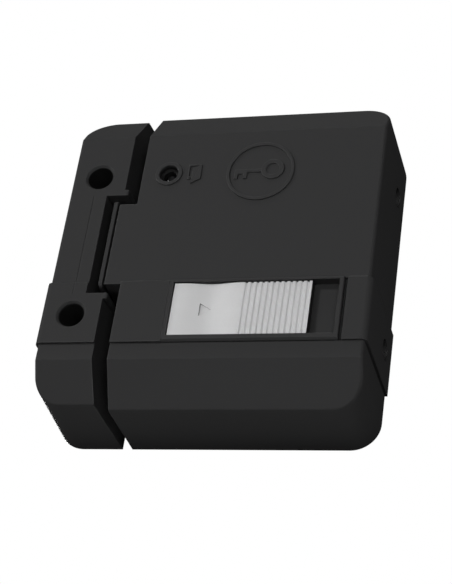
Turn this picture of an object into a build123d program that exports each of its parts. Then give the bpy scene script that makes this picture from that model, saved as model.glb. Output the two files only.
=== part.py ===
"""Electric rim lock with its strike.

Millimetres. X runs away from the strike, Z is up and the door surface is the plane Y = 0.
The front faces -Y, so a height above the door surface is a distance along -Y.
The origin is the centre of the lock's four fixing holes, on the door surface.
"""
import os
from math import asin, cos, degrees, pi, radians, sin, tan

from build123d import *

os.makedirs("parts", exist_ok=True)

# Outline that the lock case and the strike share
case_height = 133.0
case_depth = 41.0
facet_rise = 15.75
facet_depth = 10.3
soft_edge = 1.2
cover_wall = 2.2
fit_gap = 0.3
slide_gap = 0.1

# Lock case and its nose
case_width = 95.0
case_corners = (11.0, 12.0)
nose_reach = 7.0
nose_half = 18.2

# Steel base plate with the turned-up edge at the nose
plate_thickness = 1.5
forend_gap = 1.0
forend_half = 19.7
forend_rise = 0.9
forend_round = 2.0
fixing_edge_x = 8.0
fixing_edge_z = 10.5
fixing_hole_radius = 2.75

# Strike
door_gap = 6.0
strike_width = 22.5
strike_corners = (11.0, 13.0)
strike_draft = 3.0
pocket_half = 22.6
pocket_reach = 7.1
rib_thickness = 2.5
rib_proud = 1.6
rib_round = 0.8
strike_hole_offset = 9.0
strike_hole_edge = 11.5
well_radius = 5.05
well_mouth = 0.8
well_wall = 1.9
well_floor = 3.0
keeper_thickness = 2.5
keeper_half = 21.0
bolt_window_gap = 1.0
crease_edge = 5.3
crease_width = 0.3
crease_depth = 0.1

# Raised band across strike and lock
band_margin = 6.8
band_height = 26.3
band_raise = 1.0

# Window of the slide handle
bezel_start = 19.5
bezel_rest = 4.3
bezel_lip = 1.7
bezel_lip_top = 1.1
bezel_lip_low = 2.4
bezel_raise = 0.35
bezel_round = 0.3
bezel_bevel = 0.8
tray_depth = 3.8
tray_wall = 0.9
tray_floor = 1.3
groove_width = 1.2
groove_depth = 0.8

# Slide handle
slider_margin = 42.4
slider_sunk = 0.6
slider_side_gap = 0.35
slider_end_gap = 0.25
ridge_count = 12
ridge_pitch = 2.11
ridge_crest = 1.0
ridge_slope = 0.35
ridge_depth = 0.7
end_slope = 0.3
scoop_start = 3.0
scoop_depth = 1.0
arrow_start = 10.7
arrow_depth = 0.25
arrow_half = 2.65
arrow_length = 4.3
lug_offset = 16.05
lug_rise = 8.4
lug_width = 5.0
lug_height = 6.0
retainer_thickness = 1.5
retainer_margin = 3.0

# Latch bolt and the plate that is riveted into it
latch_throw = 9.2
latch_half = 10.0
latch_depth = 15.0
latch_proud = 12.0
latch_length = 24.4
latch_edge = 0.8
bevel_length = 8.5
bevel_depth = 11.0
tail_thickness = 3.0
tail_half = 7.0
tail_rear = 6.2
tail_grip = 9.0
tail_web = 3.0
slot_gap = 0.15
rivet_radius = 1.5
rivet_spacing = 8.0
rivet_inset = 4.5

# Bracket that guides the bolt
guide_inset = 2.4
guide_thickness = 1.5
guide_half = 14.0
guide_foot = 9.0
guide_rise = 5.0

# Latch spring in the window of the tail, and its fixed seat
window_offset = 14.6
window_half = 4.2
spring_wire = 0.45
spring_radius = 3.1
spring_turns = 6.5
spring_room = 20.0
post_length = 4.0
post_half = 3.0
spigot_length = 2.0
spigot_radius = 1.8

# Release lever
lever_thickness = 2.5
lever_pivot_offset = 39.5
lever_pivot_rise = 9.0
lever_tip_drop = 9.5
lever_boss_radius = 5.2
lever_tip_radius = 4.0
pivot_radius = 2.5
pivot_collar_radius = 4.2
clip_thickness = 0.8
clip_radius = 4.4
lever_pin_radius = 2.5
layer_gap = 0.55

# Solenoid
plunger_arm = 16.0
plunger_radius = 5.0
plunger_extra = 4.5
plunger_pin_radius = 1.5
fork_length = 4.0
fork_slot_depth = 6.5
bobbin_offset = 50.5
bobbin_margin = 67.0
bobbin_wall = 0.9
bobbin_flange = 1.2
solenoid_room = 16.0
coil_step = 0.5
yoke_step = 1.0
yoke_thickness = 2.5
yoke_foot = 7.0
air_gap = 0.4

# Cylinder hub behind the key emblem
key_x = 0.0
key_drop = 35.0
crank_length = 12.0
crank_thickness = 2.5
crank_tip_radius = 3.8
crank_hub_radius = 6.5
crank_pin_radius = 2.0
hub_boss_radius = 6.3
hub_flange_radius = 9.0
hub_flange_thickness = 2.5
hub_neck_radius = 5.0
hub_square = 6.8
tail_bar_width = 9.0
tail_bar_thickness = 2.2
tail_bar_depth = 10.0
bridge_thickness = 1.5
bridge_half = 6.5
bridge_leg = 12.0
bridge_foot = 7.0

# Emblem ring and hold-open button
ring_radius = 13.4
ring_width = 1.3
ring_raise = 0.35
button_offset = 10.8
button_drop = 34.6
button_ring_radius = 5.4
button_hole_radius = 3.8
button_well_depth = 2.5
button_shelf = 2.0
button_radius = 2.45
button_sunk = 1.0
button_round = 1.2
button_travel = 3.0
button_guide_length = 5.5
button_guide_wall = 1.6
button_flange_radius = 3.8
button_flange = 1.0
button_tip_radius = 2.0
tip_clearance = 0.7
catch_gap = 0.2
bracket_thickness = 1.2
bracket_half = 5.0
bracket_foot = 8.5
bracket_clearance = 3.4
button_spring_radius = 2.9
button_spring_wire = 0.25
button_spring_turns = 3.5

# Cover screws in the right side, and the tabs that take them
side_screw_height = 11.7
side_screw_drop = 28.9
side_screw_rise = 35.6
side_well_radius = 4.1
side_well_depth = 3.6
side_well_floor = 1.5
side_boss_wall = 1.8
side_screw_radius = 1.75
side_head_radius = 3.4
side_head_height = 2.0
side_screw_length = 5.5
tab_half = 6.0
tab_rise = 6.0
tab_thickness = 1.5

# Terminals, leads and cable entry
terminal_offset = 24.0
terminal_drop = 16.5
terminal_length = 17.0
terminal_width = 10.0
terminal_height = 11.0
terminal_pitch = 8.0
terminal_well_radius = 2.7
terminal_well_depth = 4.0
terminal_screw_radius = 2.4
terminal_screw_height = 2.0
wire_hole_radius = 1.2
lead_radius = 0.8
lead_height = 6.0
lead_offset = 11.0
lead_bend = 3.0
lead_turn = 8.0
lead_shares = (0.15, 0.36, 0.66)
lead_pitch = 2.4
grommet_offset = 20.5
grommet_drop = 36.5
grommet_bore = 3.0
grommet_wall = 1.5
grommet_lip = 1.2

# Small screws that hold the brackets to the base plate
screw_radius = 1.5
screw_head_radius = 2.7
screw_head_height = 1.8
foot_thickness = 1.5

# Places that follow from the sizes above
half_height = case_height / 2
lock_left = -case_width / 2
lock_right = case_width / 2
fixing_spacing_x = case_width - 2 * fixing_edge_x
fixing_spacing_z = case_height - 2 * fixing_edge_z
strike_hole_spacing = 2 * (pocket_half + strike_hole_offset)
band_centre = facet_rise - half_height + band_margin + band_height / 2
slider_length = case_width - slider_margin
bezel_width = slider_length + latch_throw + bezel_rest
key_z = half_height - key_drop
button_x = lock_left + button_offset
button_z = half_height - button_drop
side_screw_upper_z = half_height - side_screw_drop
side_screw_lower_z = side_screw_rise - half_height
terminal_x = lock_right - terminal_offset
terminal_z = half_height - terminal_drop
lead_x = lock_right - lead_offset
grommet_x = lock_right - grommet_offset
grommet_z = half_height - grommet_drop
nose_left = lock_left - nose_reach
forend_right = nose_left - forend_gap
forend_left = forend_right - plate_thickness
strike_right = lock_left - door_gap
strike_left = strike_right - strike_width
pocket_face = strike_right - pocket_reach
strike_slant = tan(radians(strike_draft))
strike_spread = case_depth * strike_slant
strike_hole_x = strike_right - strike_hole_edge
band_top = band_centre + band_height / 2
band_bottom = band_centre - band_height / 2
band_front = case_depth + band_raise
bezel_front = band_front + bezel_raise
bezel_left = lock_left + bezel_start
bezel_right = bezel_left + bezel_width
open_left = bezel_left + bezel_lip
open_centre = band_centre + (bezel_lip_low - bezel_lip_top) / 2
open_half = (band_height - bezel_lip_low - bezel_lip_top) / 2
slider_left = open_left + slider_end_gap
slider_right = slider_left + slider_length
lug_x = slider_left + lug_offset
lug_z = band_centre + lug_rise
open_right = bezel_right - bezel_lip
slider_front = bezel_front - slider_sunk
slider_half = open_half - slider_side_gap
tray_face = bezel_front - tray_depth
tray_back = tray_face - tray_floor
slider_back = tray_face + fit_gap
retainer_low = tray_back - fit_gap - retainer_thickness
yoke_inner = plate_thickness + yoke_thickness
flange_radius = (case_depth - solenoid_room) / 2
coil_radius = flange_radius - coil_step
yoke_half = flange_radius - yoke_step
lever_pivot_x = lock_left + lever_pivot_offset
lever_pivot_z = lever_pivot_rise - half_height
lever_length = -lever_tip_drop - lever_pivot_z
solenoid_height = yoke_inner + fit_gap + flange_radius
lever_angle = asin(latch_throw / 2 / lever_length)
lever_low = solenoid_height - lever_thickness / 2
lever_high = solenoid_height + lever_thickness / 2
lever_rise = lever_length * (1 - cos(lever_angle))
lever_tip_x = lever_pivot_x - lever_length * sin(lever_angle)
lever_tip_z = lever_pivot_z + lever_length * cos(lever_angle)
plunger_pin_x = lever_pivot_x - plunger_arm * sin(lever_angle)
solenoid_z = lever_pivot_z + plunger_arm * cos(lever_angle)
plunger_left = plunger_pin_x - fork_length
bobbin_start = lock_left + bobbin_offset
bobbin_length = case_width - bobbin_margin
plunger_right = plunger_left + bobbin_length + plunger_extra
plunger_stroke = 2 * plunger_arm * sin(lever_angle)
bobbin_end = bobbin_start + bobbin_length
tail_low = lever_high + layer_gap
tail_high = tail_low + tail_thickness
latch_mid = (tail_low + tail_high) / 2
latch_low = latch_mid - latch_depth / 2
latch_high = latch_mid + latch_depth / 2
latch_tip = forend_left - latch_proud
latch_rear = latch_tip + latch_length
tail_left = latch_rear - tail_grip
window_start = latch_rear + window_offset
post_x = window_start + spring_room
window_end = post_x + post_length + 1.0
tail_end = window_end + tail_rear
crank_angle = asin(latch_throw / 2 / crank_length)
crank_dip = crank_length * (1 - cos(crank_angle))
crank_pin_x = key_x - crank_length * sin(crank_angle)
crank_pin_z = key_z - crank_length * cos(crank_angle)
crank_high = tail_low - layer_gap
crank_low = crank_high - crank_thickness
bridge_high = crank_low - fit_gap
bridge_low = bridge_high - bridge_thickness
guide_right = lock_left + guide_inset
guide_left = guide_right - guide_thickness
button_ring_front = case_depth + ring_raise
shelf_front = button_ring_front - button_well_depth
guide_end = shelf_front - button_guide_length
button_front = shelf_front - button_sunk
button_flange_top = guide_end - fit_gap
button_flange_low = button_flange_top - button_flange
button_tip = tail_high + tip_clearance
bracket_height = tail_high + bracket_clearance
tip_hole_radius = button_tip_radius + fit_gap
catch_left = button_x + button_tip_radius + catch_gap - latch_throw
catch_top = button_z + tip_hole_radius + tail_web
bracket_wall = catch_top + 2 * fit_gap
side_seat = lock_right - side_well_depth
side_boss_end = side_seat - side_well_floor
tab_right = side_boss_end - fit_gap
tab_left = tab_right - tab_thickness


def at_height(height):
    """Plane parallel to the door at a height above it: its x is X, its y is Z, out is -Y."""
    return Plane.XZ.offset(height)


def round_corners(outline, side, radii):
    """Round the lower and the upper corner of a sketch; side is 0 at low X and -1 at high X."""
    fillet(outline.vertices().group_by(Axis.X)[side].sort_by(Axis.Y)[0], radii[0])
    fillet(outline.vertices().group_by(Axis.X)[side].sort_by(Axis.Y)[-1], radii[1])


def facet_block(left, right, inset, side, radii, draft=0):
    """Solid with the shared outline: flat front, slanted facets, two rounded corners at one side.

    left and right are places at the front, and a draft in degrees widens the walls towards the
    back. The outline is shrunk evenly by inset, all but the back, which runs out for a cut.
    """
    front = -case_depth
    facet_back = front + facet_depth
    flat_half = half_height - facet_rise
    back = 2 * inset
    with BuildPart() as solid:
        with BuildSketch(Plane.YZ):
            with BuildLine():
                Polyline(
                    (back, -half_height),
                    (facet_back, -half_height),
                    (front, -flat_half),
                    (front, flat_half),
                    (facet_back, half_height),
                    (back, half_height),
                    close=True,
                )
            make_face()
            if inset > 0:
                offset(amount=-inset, kind=Kind.INTERSECTION)
        extrude(amount=2 * case_width, both=True)
        slant = tan(radians(draft))
        with BuildSketch(Plane.XZ.offset(-back)) as outline:
            with Locations(((left + right) / 2, 0)):
                half_width = (right - left) / 2 + (case_depth + back) * slant
                Rectangle(2 * half_width, case_height - 2 * inset + 2 * back * slant)
            round_corners(outline, side, [radius - inset + back * slant for radius in radii])
        extrude(amount=case_depth + back + 1, taper=draft, mode=Mode.INTERSECT)
    return solid.part


def front_rim(part, open_end):
    """Outer front edges of a facet block, without its flat creases and its open end."""
    fronts = part.faces().filter_by(lambda face: face.normal_at().Y < -0.1)
    chosen = []
    for edge in fronts.edges():
        middle = edge.center()
        crease = abs(middle.Y + case_depth) < 0.01 and abs((edge % 0.5).X) > 0.9
        if not crease and abs(middle.X - open_end) > 1:
            chosen.append(edge)
    return chosen


def post(x, z, low, high, radius, mode=Mode.ADD):
    """Cylinder standing between two heights above the door surface."""
    with Locations((x, -(low + high) / 2, z)):
        Cylinder(radius, high - low, rotation=(90, 0, 0), mode=mode)


def rod(x_pair, height, z, radius, mode=Mode.ADD):
    """Cylinder lying along X between two x values."""
    with Locations((sum(x_pair) / 2, -height, z)):
        Cylinder(radius, x_pair[1] - x_pair[0], rotation=(0, 90, 0), mode=mode)


def block(x_pair, z_pair, low, high, mode=Mode.ADD):
    """Square-edged block between two x values, two z values and two heights."""
    with Locations((sum(x_pair) / 2, -(low + high) / 2, sum(z_pair) / 2)):
        Box(x_pair[1] - x_pair[0], high - low, z_pair[1] - z_pair[0], mode=mode)


def panel(x_pair, z_pair, mode=Mode.ADD):
    """Rectangle in a sketch parallel to the door, between two x values and two z values."""
    with Locations((sum(x_pair) / 2, sum(z_pair) / 2)):
        Rectangle(x_pair[1] - x_pair[0], z_pair[1] - z_pair[0], mode=mode)


def disc(x, z, radius, mode=Mode.ADD):
    """Circle in a sketch parallel to the door."""
    with Locations((x, z)):
        Circle(radius, mode=mode)


def around(middle, half):
    """Pair of values at equal distances from a middle."""
    return (middle - half, middle + half)


def coil_turns(radius, turns):
    """Points of a coil, twelve to a turn: share of its length, and two places across its axis."""
    steps = round(12 * turns)
    angles = [2 * pi * step / 12 for step in range(steps + 1)]
    return [(step / steps, radius * cos(a), radius * sin(a)) for step, a in enumerate(angles)]


def finish(part, name):
    """Label a finished piece and write its file."""
    part.label = name
    export_step(part, f"parts/{name}.step")


# Case cover: moulded shell, with the nose, the raised band, the rings and the screw bosses
cover_outer = facet_block(lock_left, lock_right, 0, -1, case_corners)
cover_inner = facet_block(lock_left + cover_wall, lock_right - cover_wall, cover_wall, -1, case_corners)
with BuildPart() as case_cover:
    add(cover_outer)
    fillet(front_rim(case_cover.part, lock_left), soft_edge)
    block((nose_left, lock_left), around(0, nose_half), 0, case_depth)
    with BuildSketch(Plane.XY.offset(band_bottom)) as band_plan:
        with Locations((band_raise / 2, -band_front / 2)):
            Rectangle(case_width + band_raise, band_front)
        fillet(band_plan.vertices().sort_by(Axis.Y)[:2].sort_by(Axis.X)[-1], soft_edge + band_raise)
    extrude(amount=band_height)
    post(key_x, key_z, case_depth, case_depth + ring_raise, ring_radius)
    post(key_x, key_z, case_depth, case_depth + ring_raise, ring_radius - ring_width, Mode.SUBTRACT)
    post(button_x, button_z, case_depth, button_ring_front, button_ring_radius)
    # Hollow of the shell and of its nose
    add(cover_inner, mode=Mode.SUBTRACT)
    nose_hollow = (nose_left - cover_wall, lock_left + 2 * cover_wall)
    block(nose_hollow, around(0, nose_half - cover_wall), -1, case_depth - cover_wall, Mode.SUBTRACT)
    # Guide tube of the hold-open button behind the front wall
    tube_radius = button_radius + slide_gap + button_guide_wall
    post(button_x, button_z, guide_end, case_depth - cover_wall, tube_radius)
    post(button_x, button_z, shelf_front - button_shelf, case_depth, button_hole_radius + button_guide_wall)
    post(button_x, button_z, shelf_front, band_front, button_hole_radius, Mode.SUBTRACT)
    post(button_x, button_z, 0, case_depth, button_radius + slide_gap, Mode.SUBTRACT)
    # Bosses and wells of the two side screws
    for screw_z in (side_screw_upper_z, side_screw_lower_z):
        boss = (side_boss_end, lock_right)
        rod(boss, side_screw_height, screw_z, side_well_radius + side_boss_wall)
        well = (side_seat, lock_right + 2 * band_raise)
        rod(well, side_screw_height, screw_z, side_well_radius, Mode.SUBTRACT)
        hole_radius = side_screw_radius + slot_gap
        rod((side_boss_end - 1, lock_right), side_screw_height, screw_z, hole_radius, Mode.SUBTRACT)
    # Seat of the bezel in the band, the groove beside it and the hole for its tray
    bezel_bed = (bezel_left, bezel_right + groove_width)
    block(bezel_bed, around(band_centre, band_height), case_depth, band_front + 1, Mode.SUBTRACT)
    groove = (bezel_right, bezel_right + groove_width)
    block(groove, (band_bottom, band_top), case_depth - groove_depth, band_front, Mode.SUBTRACT)
    tray_hole = (open_left - tray_wall - slide_gap, open_right + tray_wall + slide_gap)
    tray_hole_half = open_half + tray_wall + slide_gap
    block(tray_hole, around(open_centre, tray_hole_half), guide_end, band_front, Mode.SUBTRACT)
finish(case_cover.part, "case_cover")

# Slider bezel: frame that lies in the band, with the sunken tray of the handle
with BuildPart() as slider_bezel:
    with BuildSketch(at_height(case_depth)):
        panel((bezel_left, bezel_right), (band_bottom, band_top))
    extrude(amount=bezel_front - case_depth)
    outer_edges = slider_bezel.faces().sort_by(Axis.Y)[0].edges()
    chamfer(outer_edges.sort_by(Axis.Z)[1:], bezel_round)
    low_edge = slider_bezel.faces().sort_by(Axis.Y)[0].edges().sort_by(Axis.Z)[0]
    chamfer(low_edge, bezel_bevel)
    tray_outer = (open_left - tray_wall, open_right + tray_wall)
    block(tray_outer, around(open_centre, open_half + tray_wall), tray_back, case_depth)
    block((open_left, open_right), around(open_centre, open_half), tray_face, bezel_front, Mode.SUBTRACT)
    lug_slot = (lug_x - lug_width / 2 - fit_gap, lug_x + lug_width / 2 + latch_throw + fit_gap)
    block(lug_slot, around(lug_z, lug_height / 2 + fit_gap), tray_back - 1, tray_face + 1, Mode.SUBTRACT)
finish(slider_bezel.part, "slider_bezel")

# Slide handle: one profile with the thumb scoop and the ridges, and a lug that reaches the tail
ridge_start = slider_right - end_slope - ridge_count * ridge_pitch
scoop_left = slider_left + scoop_start
scoop_right = ridge_start - ridge_crest
with BuildPart() as slider:
    with BuildSketch(Plane.XY.offset(open_centre - slider_half)):
        with BuildLine():
            Line((slider_left, -slider_back), (slider_left, -slider_front))
            Line((slider_left, -slider_front), (scoop_left, -slider_front))
            scoop_low = ((scoop_left + scoop_right) / 2, scoop_depth - slider_front)
            scoop_points = ((scoop_left, -slider_front), scoop_low, (scoop_right, -slider_front))
            Spline(*scoop_points, tangents=((1, 0), (1, 0)))
            Line((scoop_right, -slider_front), (ridge_start, -slider_front))
            groove_bottom = ridge_depth - slider_front
            for ridge in range(ridge_count):
                left = ridge_start + ridge * ridge_pitch
                crest = left + ridge_pitch - ridge_crest
                Polyline(
                    (left, -slider_front),
                    (left + ridge_slope, groove_bottom),
                    (crest - ridge_slope, groove_bottom),
                    (crest, -slider_front),
                    (left + ridge_pitch, -slider_front),
                )
            Line((slider_right - end_slope, -slider_front), (slider_right, -slider_back))
            Line((slider_right, -slider_back), (slider_left, -slider_back))
        make_face()
    extrude(amount=2 * slider_half)
    block(around(lug_x, lug_width / 2), around(lug_z, lug_height / 2), tail_low - slide_gap, slider_back)
    arrow_left = slider_left + arrow_start
    with BuildSketch(at_height(slider_front - scoop_depth - arrow_depth)):
        with BuildLine():
            Polyline(
                (arrow_left, open_centre - arrow_half),
                (arrow_left, open_centre + arrow_half),
                (arrow_left + arrow_length, open_centre),
                close=True,
            )
        make_face()
    extrude(amount=scoop_depth + 1, mode=Mode.SUBTRACT)
finish(slider.part, "slider")

# Retainer plate on the lug, behind the tray
with BuildPart() as slider_retainer:
    with BuildSketch(at_height(retainer_low)):
        with Locations((lug_x, lug_z)):
            RectangleRounded(lug_width + 2 * retainer_margin, lug_height + 2 * retainer_margin, 1)
            Rectangle(lug_width, lug_height, mode=Mode.SUBTRACT)
    extrude(amount=retainer_thickness)
finish(slider_retainer.part, "slider_retainer")

# Base plate: flat plate, turned-up edge at the nose with the bolt's window, and two screw tabs
plate_inset = cover_wall + fit_gap
plate_left = lock_left + plate_inset
plate_right = lock_right - plate_inset
tongue_half = nose_half - plate_inset
foot_screws = [
    (guide_right + guide_foot / 2, guide_half - guide_foot / 2),
    (guide_right + guide_foot / 2, guide_foot / 2 - guide_half),
    (key_x - bridge_leg - bridge_thickness - bridge_foot / 2, key_z),
    (key_x + bridge_leg + bridge_thickness + bridge_foot / 2, key_z),
    ((bobbin_start + bobbin_end) / 2, solenoid_z - yoke_half - yoke_foot / 2),
    ((bobbin_start + bobbin_end) / 2, solenoid_z + yoke_half + yoke_foot / 2),
    (button_x, bracket_wall + bracket_thickness + bracket_foot / 2),
]
with BuildPart() as base_plate:
    with BuildSketch(at_height(0)) as plate_outline:
        panel((plate_left, plate_right), around(0, half_height - plate_inset))
        round_corners(plate_outline, -1, [radius - plate_inset for radius in case_corners])
        panel((forend_left, plate_left), around(0, tongue_half))
        with GridLocations(fixing_spacing_x, fixing_spacing_z, 2, 2):
            Circle(fixing_hole_radius, mode=Mode.SUBTRACT)
        with Locations(foot_screws):
            Circle(screw_radius, mode=Mode.SUBTRACT)
        disc(key_x, key_z, hub_boss_radius + slide_gap, Mode.SUBTRACT)
        disc(grommet_x, grommet_z, grommet_bore + grommet_wall, Mode.SUBTRACT)
    extrude(amount=plate_thickness)
    forend_height = case_depth - fit_gap
    block((forend_left, forend_right), around(forend_rise, forend_half), 0, forend_height)
    fillet(base_plate.edges().filter_by(Axis.X).group_by(Axis.Y)[0], forend_round)
    bolt_window = (latch_low - fit_gap, latch_high + fit_gap)
    block((forend_left, forend_right), around(0, latch_half + fit_gap), *bolt_window, Mode.SUBTRACT)
    for screw_z in (side_screw_upper_z, side_screw_lower_z):
        tab_top = side_screw_height + tab_rise
        block((tab_left, tab_right), around(screw_z, tab_half), 0, tab_top)
        rod((tab_left, tab_right), side_screw_height, screw_z, side_screw_radius, Mode.SUBTRACT)
finish(base_plate.part, "base_plate")

# Cover screws
with BuildPart() as cover_screws:
    for screw_z in (side_screw_upper_z, side_screw_lower_z):
        rod((side_seat - side_screw_length, side_seat), side_screw_height, screw_z, side_screw_radius)
        rod((side_seat, side_seat + side_head_height), side_screw_height, screw_z, side_head_radius)
        cross = (side_seat + side_head_height / 2, side_seat + side_head_height)
        cross_arm = 0.65 * side_head_radius
        cross_half = 0.15 * side_head_radius
        upright = around(side_screw_height, cross_half)
        level = around(side_screw_height, cross_arm)
        block(cross, around(screw_z, cross_arm), *upright, Mode.SUBTRACT)
        block(cross, around(screw_z, cross_half), *level, Mode.SUBTRACT)
finish(cover_screws.part, "cover_screws")

# Latch bolt: bevelled towards the door frame, slotted at the rear for the tail
rivet_x = latch_rear - rivet_inset
rivet_places = [(rivet_x, -rivet_spacing / 2), (rivet_x, rivet_spacing / 2)]
with BuildPart() as latch_bolt:
    with BuildSketch(Plane.XY.offset(-latch_half)) as bolt_plan:
        with BuildLine():
            Polyline(
                (latch_rear, -latch_high),
                (latch_tip, -latch_high),
                (latch_tip, bevel_depth - latch_high),
                (latch_tip + bevel_length, -latch_low),
                (latch_rear, -latch_low),
                close=True,
            )
        make_face()
    extrude(amount=2 * latch_half)
    chamfer(latch_bolt.faces().sort_by(Axis.X)[0].edges(), latch_edge)
    block((tail_left, latch_rear), around(0, tail_half), tail_low, tail_high, Mode.SUBTRACT)
    for x, z in rivet_places:
        post(x, z, latch_low, latch_high, rivet_radius, Mode.SUBTRACT)
finish(latch_bolt.part, "latch_bolt")

# Tail plate: spring window, two arms up to the button and the key crank, one down to the lever
key_arm = around(crank_pin_x, crank_pin_radius + slot_gap + tail_web)
key_arm_top = crank_pin_z + crank_pin_radius + tail_web
down_arm_left = lever_tip_x - lever_pin_radius - slot_gap - tail_web
down_arm_right = lug_x + lug_width / 2 + slot_gap + tail_web
down_arm_low = lug_z - lug_height / 2 - slot_gap - tail_web
with BuildPart() as latch_tail:
    with BuildSketch(at_height(tail_low)) as tail_outline:
        panel((tail_left, tail_end), around(0, tail_half))
        panel((catch_left, button_x + tip_hole_radius + tail_web), (0, catch_top))
        panel(key_arm, (0, key_arm_top))
        panel((down_arm_left, down_arm_right), (down_arm_low, 0))
        disc(button_x, button_z, tip_hole_radius, Mode.SUBTRACT)
        panel((window_start, window_end), around(0, window_half), Mode.SUBTRACT)
        panel((window_start, window_start + spigot_length), around(0, spigot_radius / 2))
        with Locations((crank_pin_x, crank_pin_z - crank_dip / 2)):
            slot_width = 2 * (crank_pin_radius + slot_gap)
            Rectangle(slot_width, slot_width + crank_dip, mode=Mode.SUBTRACT)
        with Locations((lever_tip_x, lever_tip_z + lever_rise / 2)):
            slot_width = 2 * (lever_pin_radius + slot_gap)
            Rectangle(slot_width, slot_width + lever_rise, mode=Mode.SUBTRACT)
        with Locations((lug_x, lug_z)):
            Rectangle(lug_width + 2 * slot_gap, lug_height + 2 * slot_gap, mode=Mode.SUBTRACT)
        with Locations(rivet_places):
            Circle(rivet_radius, mode=Mode.SUBTRACT)
    extrude(amount=tail_thickness)
finish(latch_tail.part, "latch_tail")

# Rivets through bolt and tail
with BuildPart() as latch_rivets:
    for x, z in rivet_places:
        post(x, z, latch_low, latch_high, rivet_radius)
finish(latch_rivets.part, "latch_rivets")

# Latch guide: angle bracket with a window for the bolt
with BuildPart() as latch_guide:
    guide_top = latch_high + guide_rise
    block((guide_left, guide_right), around(0, guide_half), plate_thickness, guide_top)
    foot_high = plate_thickness + foot_thickness
    block((guide_left, guide_right + guide_foot), around(0, guide_half), plate_thickness, foot_high)
    guide_window = (latch_low - fit_gap, latch_high + fit_gap)
    block((guide_left, guide_right), around(0, latch_half + fit_gap), *guide_window, Mode.SUBTRACT)
    for x, z in foot_screws[:2]:
        post(x, z, plate_thickness, foot_high, screw_radius, Mode.SUBTRACT)
finish(latch_guide.part, "latch_guide")

# Spring post: fixed seat of the latch spring, standing in the window of the tail
with BuildPart() as spring_post:
    block((post_x, post_x + post_length), around(0, post_half), plate_thickness, tail_high + 1)
    rod((post_x - spigot_length, post_x), latch_mid, 0, spigot_radius)
finish(spring_post.part, "spring_post")

# Latch spring between the window's left edge and the post
with BuildPart() as latch_spring:
    coil_start = window_start + fit_gap + spring_wire
    coil_length = post_x - fit_gap - spring_wire - coil_start
    with BuildLine() as coil_path:
        Polyline(
            *[
                (coil_start + coil_length * advance, across - latch_mid, up)
                for advance, across, up in coil_turns(spring_radius, spring_turns)
            ]
        )
    with BuildSketch(Plane(coil_path.line @ 0, z_dir=coil_path.line % 0)):
        RegularPolygon(spring_wire, 6)
    sweep(transition=Transition.RIGHT)
finish(latch_spring.part, "latch_spring")

# Release lever: pivots at its foot, pulled by the plunger, drives the tail with the pin at its tip
lever_plane = Plane(
    origin=(lever_pivot_x, -lever_low, lever_pivot_z),
    x_dir=(cos(lever_angle), 0, sin(lever_angle)),
    z_dir=(0, -1, 0),
)
with BuildPart() as release_lever:
    with BuildSketch(lever_plane) as lever_outline:
        Circle(lever_boss_radius)
        with Locations((0, lever_length)):
            Circle(lever_tip_radius)
        make_hull()
        Circle(pivot_radius + slide_gap / 2, mode=Mode.SUBTRACT)
        with Locations((0, lever_length)):
            Circle(lever_pin_radius, mode=Mode.SUBTRACT)
        with Locations((0, plunger_arm)):
            pin_slot = 2 * (plunger_pin_radius + slot_gap)
            SlotOverall(pin_slot + 1, pin_slot, rotation=90, mode=Mode.SUBTRACT)
    extrude(amount=lever_thickness)
finish(release_lever.part, "release_lever")

# Pin pressed into the lever's tip
with BuildPart() as lever_pin:
    post(lever_tip_x, lever_tip_z, lever_low, tail_high + layer_gap, lever_pin_radius)
finish(lever_pin.part, "lever_pin")

# Shoulder stud and retaining ring of the lever
clip_low = lever_high + fit_gap
with BuildPart() as lever_pivot:
    post(lever_pivot_x, lever_pivot_z, plate_thickness, lever_low - fit_gap, pivot_collar_radius)
    post(lever_pivot_x, lever_pivot_z, plate_thickness, clip_low + clip_thickness + 0.5, pivot_radius)
finish(lever_pivot.part, "lever_pivot")

with BuildPart() as lever_clip:
    with BuildSketch(at_height(clip_low)):
        disc(lever_pivot_x, lever_pivot_z, clip_radius)
        disc(lever_pivot_x, lever_pivot_z, pivot_radius, Mode.SUBTRACT)
        clip_mouth = around(lever_pivot_z + clip_radius, clip_radius)
        panel(around(lever_pivot_x, 0.7 * pivot_radius), clip_mouth, Mode.SUBTRACT)
    extrude(amount=clip_thickness)
finish(lever_clip.part, "lever_clip")

# Solenoid frame: bent steel yoke with two feet
yoke_left = bobbin_start - yoke_thickness
yoke_right = bobbin_end + yoke_thickness
yoke_top = solenoid_height + flange_radius
foot_middle = (bobbin_start + bobbin_end) / 2
with BuildPart() as solenoid_frame:
    block((yoke_left, yoke_right), around(solenoid_z, yoke_half), plate_thickness, yoke_inner)
    block((yoke_left, bobbin_start), around(solenoid_z, yoke_half), plate_thickness, yoke_top)
    block((bobbin_end, yoke_right), around(solenoid_z, yoke_half), plate_thickness, yoke_top)
    foot_x = around(foot_middle, yoke_foot)
    block(foot_x, around(solenoid_z, yoke_half + yoke_foot), plate_thickness, yoke_inner)
    rod((yoke_left, bobbin_start), solenoid_height, solenoid_z, plunger_radius + fit_gap, Mode.SUBTRACT)
    rod((bobbin_end, yoke_right), solenoid_height, solenoid_z, plunger_radius / 2, Mode.SUBTRACT)
    for x, z in foot_screws[4:6]:
        post(x, z, plate_thickness, yoke_inner, screw_radius, Mode.SUBTRACT)
finish(solenoid_frame.part, "solenoid_frame")

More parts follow.
